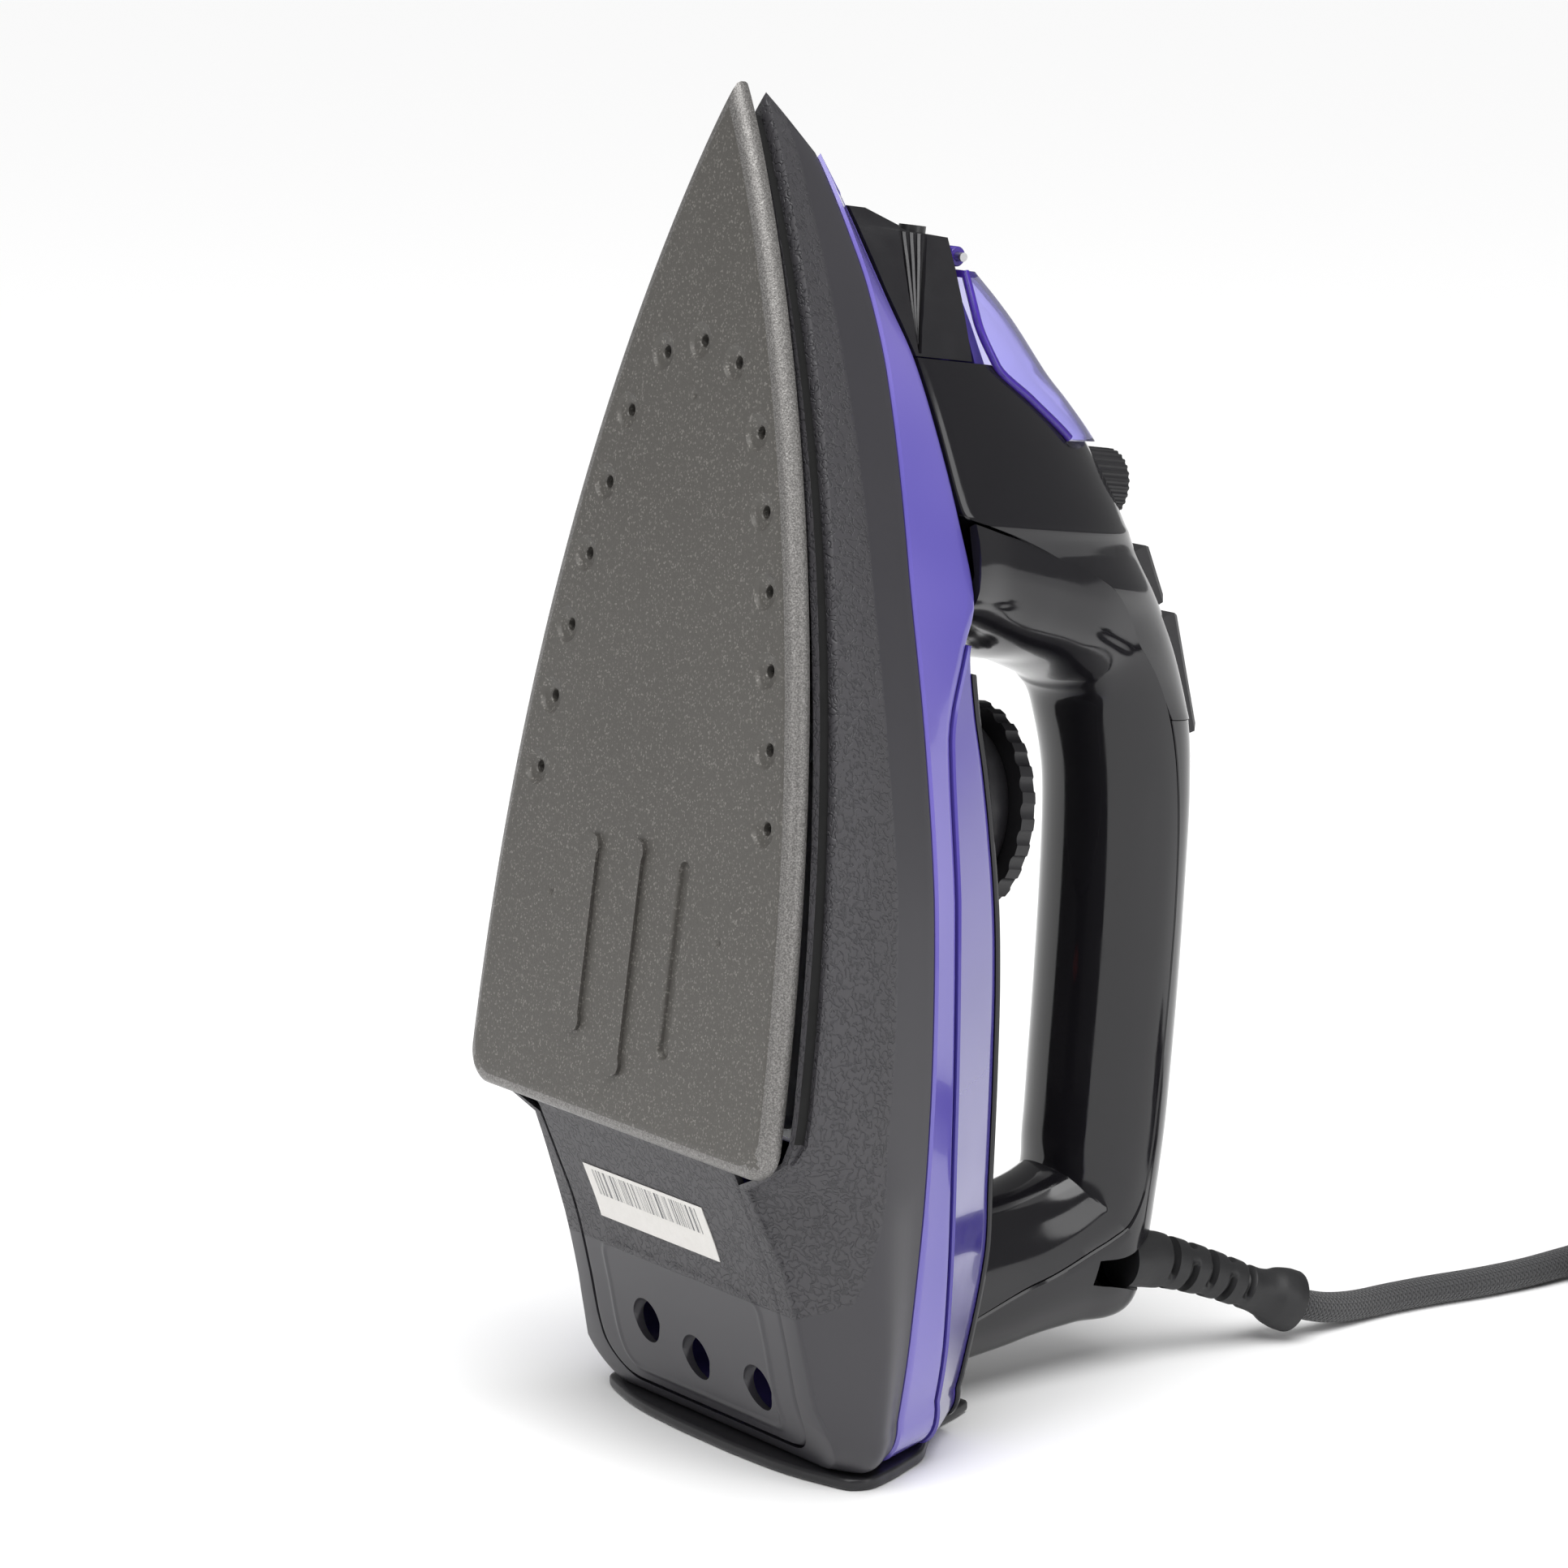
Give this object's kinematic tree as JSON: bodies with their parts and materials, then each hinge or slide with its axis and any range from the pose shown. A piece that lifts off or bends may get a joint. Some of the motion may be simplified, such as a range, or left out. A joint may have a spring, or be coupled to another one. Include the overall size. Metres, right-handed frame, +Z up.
{
  "type": "steam iron",
  "caption": "Corded steam iron standing on its heel, with a vented soleplate, a tinted water tank, a closed handle, a temperature dial, a steam knob, push buttons and a mains lead.",
  "frame": {"origin": "centre of the iron's footprint box at the surface that it stands on, taken without its cord", "axes": "+Z up with the nose at the top, the pressing face towards -X, +Y to the iron's right when it lies on its pressing face with the nose ahead"},
  "size_m": [0.3583, 0.2044, 0.2972],
  "materials": {
    "sole_coating": "satin speckled non-stick coating",
    "cast_aluminium": "as cast",
    "element_steel": "dull sheathed tube",
    "sheet_metal": "bright sheet",
    "zinc_steel": "zinc plated",
    "ceramic": "matte",
    "brass": "turned",
    "charcoal_plastic": "fine leather grain and satin",
    "black_satin": "satin",
    "black_gloss": "gloss",
    "violet_clear": "tinted, gloss",
    "door_clear": "tinted clear",
    "label_paper": "printed label",
    "seal_rubber": "soft",
    "white_plastic": "moulded",
    "lamp_red": "tinted",
    "wire_sleeve": "sleeved wires",
    "cord_textile": "braided sleeve",
    "cord_tie": "hook and loop",
    "plug_rubber": "moulded",
    "pin_metal": "nickel plated"
  },
  "bodies": {
    "body": {"soleplate": "sole_coating", "heater_casting": "cast_aluminium", "heating_element": "element_steel", "steam_chamber_cover": "sheet_metal", "thermostat": "ceramic", "thermal_fuse": "ceramic", "heat_shield": "sheet_metal", "casting_screws": "zinc_steel", "skirt": "charcoal_plastic", "heel_cover": "charcoal_plastic", "heel_plate": "black_satin", "rating_label": "label_paper", "tank_lower": "violet_clear", "tank_upper": "violet_clear", "tank_floor": "violet_clear", "deck": "black_gloss", "front_shell": "black_gloss", "nozzle_block": "black_satin", "spray_nozzle": "black_satin", "inlet_funnel": "violet_clear", "inlet_seal": "seal_rubber", "door_pin": "zinc_steel", "grip_shell": "black_gloss", "handle_cover": "black_gloss", "control_frame": "white_plastic", "valve_seat": "brass", "spray_pump": "white_plastic", "spray_spring": "zinc_steel", "steam_pump": "white_plastic", "steam_spring": "zinc_steel", "dial_base": "black_satin", "pilot_lamp": "lamp_red", "terminal_block": "ceramic", "cord_clamp": "white_plastic", "handle_wires": "wire_sleeve", "cord_gland": "seal_rubber", "power_cord": "cord_textile", "cord_coil": "cord_textile", "coil_tie": "cord_tie", "cord_tail": "cord_textile", "plug_body": "plug_rubber", "plug_pins": "pin_metal"},
    "door": {"water_door": "door_clear"},
    "knob": {"steam_knob": "black_satin", "valve_rod": "zinc_steel"},
    "dial": {"temperature_dial": "black_satin", "dial_shaft": "zinc_steel"},
    "spray": {"spray_button": "black_satin"},
    "steam": {"steam_button": "black_satin"}
  },
  "joints": [
    {"name": "door_hinge", "type": "hinge", "parent": "body", "child": "door", "pos_m": [0.01015, 0, 0.25749], "axis": [0, -1, 0], "range_deg": [0, 95]},
    {"name": "steam_knob_turn", "type": "hinge", "parent": "body", "child": "knob", "pos_m": [0.04541, 0, 0.20521], "axis": [0.989, 0, -0.1478], "range_deg": [-150, 0]},
    {"name": "dial_turn", "type": "hinge", "parent": "body", "child": "dial", "pos_m": [0.01363, 0, 0.13463], "axis": [0.989, 0, -0.1478], "range_deg": [0, 290]},
    {"name": "spray_press", "type": "slide", "parent": "body", "child": "spray", "axis": [-0.9304, 0, -0.3665], "range_m": [0, 0.003], "stiffness_N_per_m": 900, "springref_m": -0.003},
    {"name": "steam_press", "type": "slide", "parent": "body", "child": "steam", "axis": [-0.974, 0, -0.2267], "range_m": [0, 0.003], "stiffness_N_per_m": 900, "springref_m": -0.003}
  ]
}
